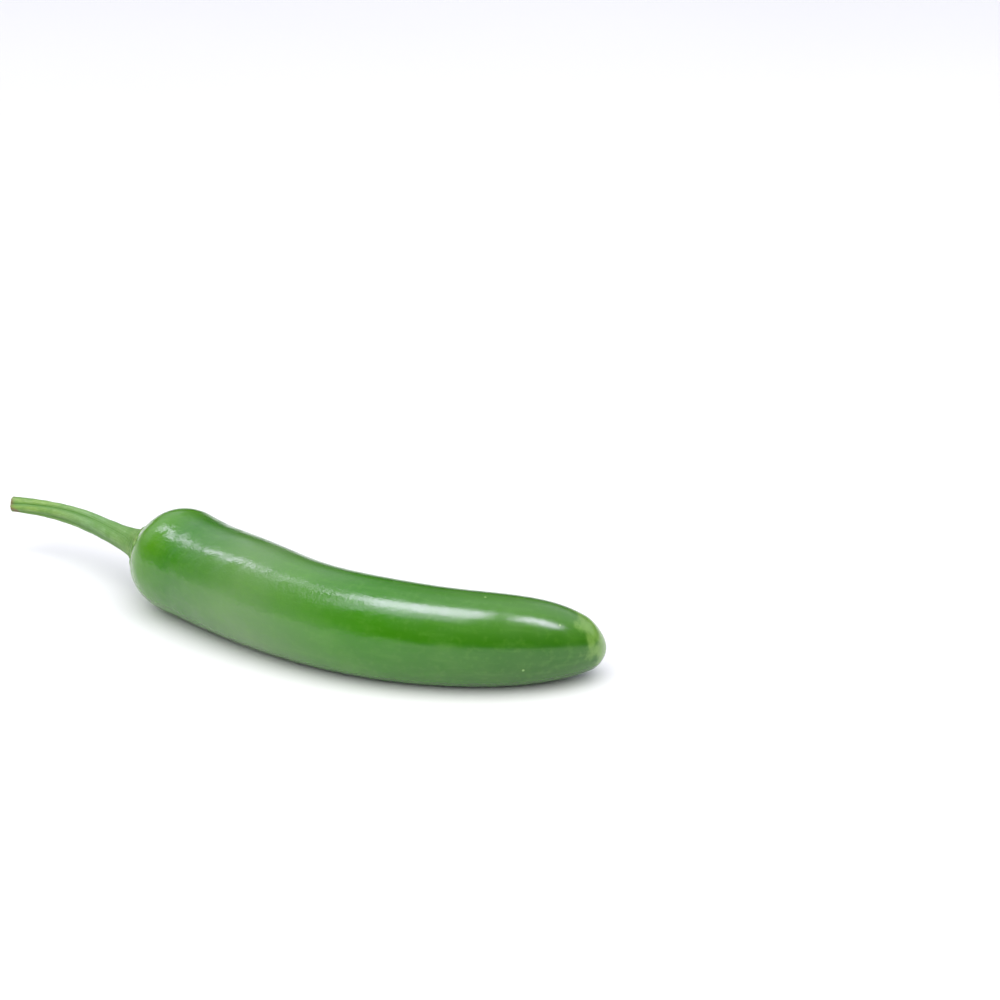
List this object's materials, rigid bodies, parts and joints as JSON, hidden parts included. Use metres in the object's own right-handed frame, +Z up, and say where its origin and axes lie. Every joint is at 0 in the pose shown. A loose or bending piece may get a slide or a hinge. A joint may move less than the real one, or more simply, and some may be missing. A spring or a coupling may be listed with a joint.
{
  "type": "chilli pepper",
  "caption": "Glossy green chilli pepper lying on its side, a gently curved blunt-tipped pod with a ribbed stem and a toothed calyx on its shoulder.",
  "frame": {"origin": "centre of the bounding box's bottom, on the table under the middle of the chilli", "axes": "+Z up from the table, +X from the stem's cut end towards the pod's tip, +Y away from the viewer, to the side on which the stem lies"},
  "size_m": [0.107, 0.065, 0.0184],
  "materials": {
    "pod_skin": "gloss",
    "stem_green": "satin"
  },
  "bodies": {
    "root": {"pod": "pod_skin", "stem_calyx": "stem_green"}
  },
  "joints": []
}
